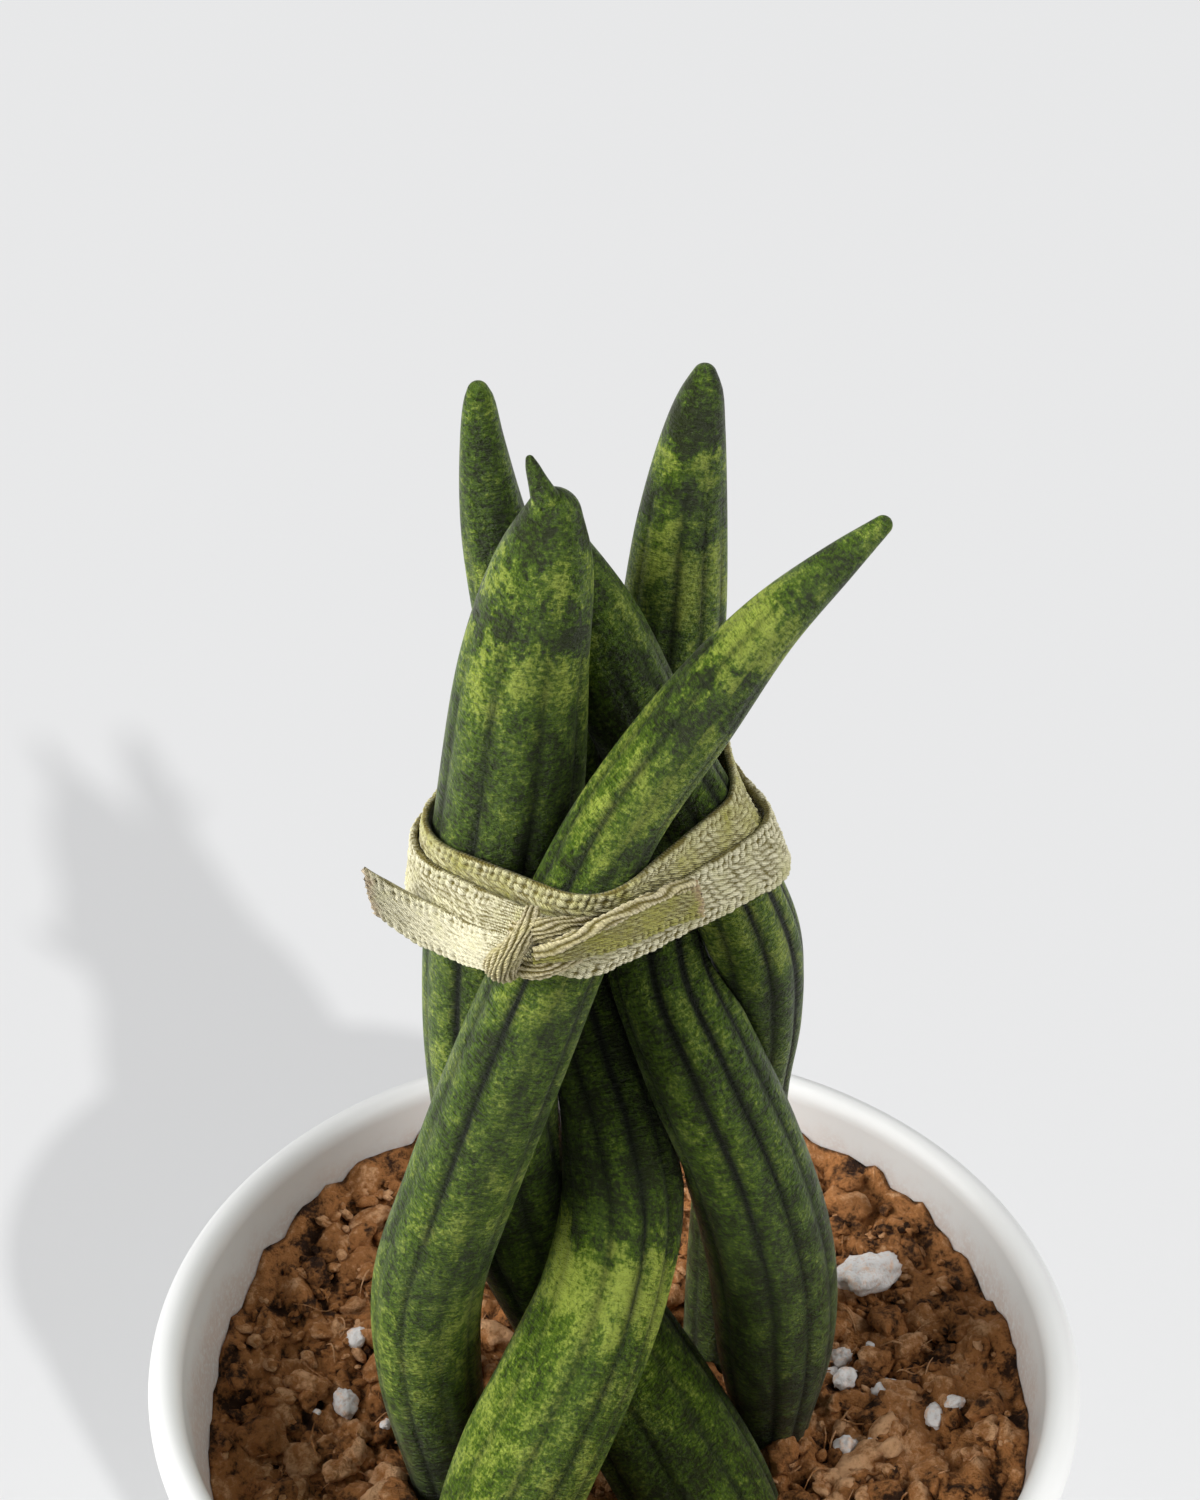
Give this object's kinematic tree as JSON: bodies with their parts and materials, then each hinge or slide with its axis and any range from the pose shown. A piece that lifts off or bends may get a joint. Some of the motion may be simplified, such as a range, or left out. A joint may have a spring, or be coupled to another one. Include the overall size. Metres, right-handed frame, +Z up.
{
  "type": "potted braided snake plant",
  "caption": "Small potted succulent: round grooved leaves woven into an upright braid, tied with a knotted woven ribbon, standing in a glazed round pot filled with soil.",
  "frame": {"origin": "centre of the pot's foot, on the surface it stands on", "axes": "+Z up along the pot's axis, -Y towards the side with the ribbon's knot, +X to the right seen from there"},
  "size_m": [0.12, 0.12, 0.2283],
  "materials": {
    "glazed_pot": "smooth white glaze",
    "potting_soil": "loose reddish-brown coir and bark crumbs with white grains",
    "leaf": "satin, dark green with mottled paler crossbands",
    "ribbon": "woven cream tape with a soft sheen"
  },
  "bodies": {
    "root": {"pot": "glazed_pot", "soil": "potting_soil", "leaf_slanting": "leaf", "leaf_stout": "leaf", "leaf_left_rear": "leaf", "leaf_right_rear": "leaf", "leaf_middle": "leaf", "ribbon": "ribbon"}
  },
  "joints": []
}
